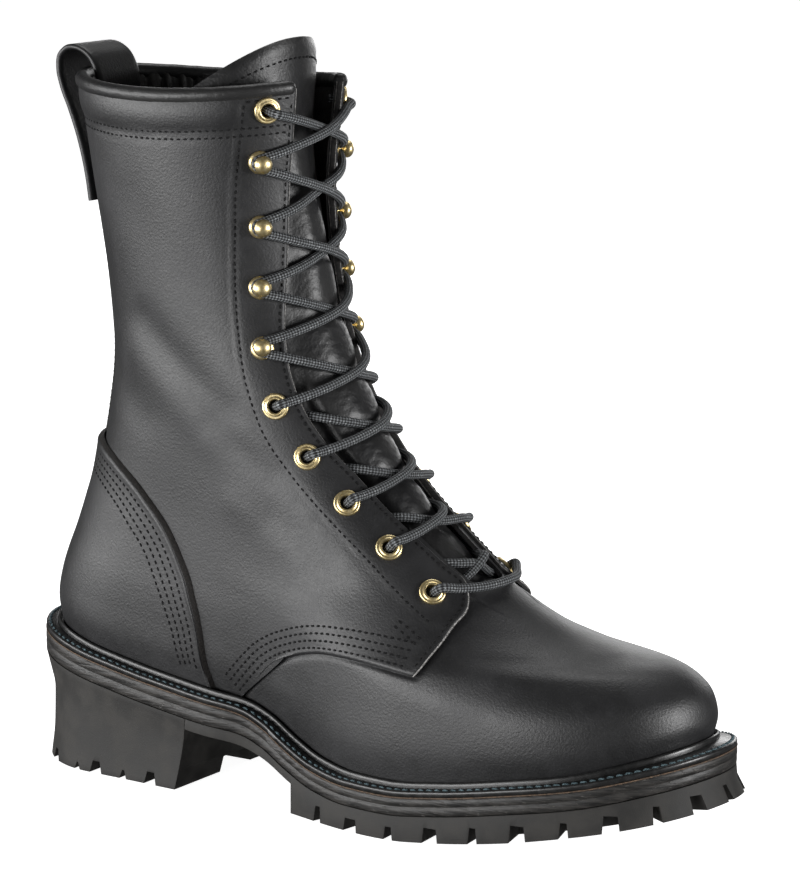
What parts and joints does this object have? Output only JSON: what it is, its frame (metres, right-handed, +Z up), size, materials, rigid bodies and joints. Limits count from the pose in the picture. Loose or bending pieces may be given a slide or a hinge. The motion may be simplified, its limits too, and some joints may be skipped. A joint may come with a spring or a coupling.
{
  "type": "wildland fire boot",
  "caption": "Tall laced leather work boot for the right foot: lug sole with a raised heel, stitched welt, heel counter, brass eyelets and speed hooks, padded tongue and pull loop.",
  "frame": {"origin": "on the floor under the middle of the boot's box", "axes": "+X from heel to toe, +Y to the inner side of the foot, +Z up from the floor to the collar"},
  "size_m": [0.3128, 0.1116, 0.303],
  "materials": {
    "leather": "soft matte black with a grey sheen",
    "soft_leather": "glossy soft black",
    "welt_leather": "polished black with grey lock stitches",
    "sole_leather": "burnished cut edge",
    "rubber": "matte moulded",
    "insole": "plain",
    "brass": "polished",
    "lace": "round braid"
  },
  "bodies": {
    "root": {"outsole": "rubber", "heel": "rubber", "midsole": "sole_leather", "welt": "welt_leather", "insole": "insole", "upper": "leather", "counter": "leather", "back_stay": "leather", "tongue": "soft_leather", "collar_binding": "soft_leather", "pull_loop": "leather", "eyelet_outer_1": "brass", "eyelet_outer_2": "brass", "eyelet_outer_3": "brass", "eyelet_outer_4": "brass", "eyelet_outer_5": "brass", "eyelet_outer_6": "brass", "eyelet_inner_1": "brass", "eyelet_inner_2": "brass", "eyelet_inner_3": "brass", "eyelet_inner_4": "brass", "eyelet_inner_5": "brass", "eyelet_inner_6": "brass", "hook_outer_1": "brass", "hook_outer_2": "brass", "hook_outer_3": "brass", "hook_outer_4": "brass", "hook_inner_1": "brass", "hook_inner_2": "brass", "hook_inner_3": "brass", "hook_inner_4": "brass", "lace_bar": "lace", "lace_cross_1": "lace", "lace_cross_2": "lace", "lace_cross_3": "lace", "lace_cross_4": "lace", "lace_cross_5": "lace", "lace_cross_6": "lace", "lace_cross_7": "lace", "lace_cross_8": "lace", "lace_cross_9": "lace"}
  },
  "joints": []
}
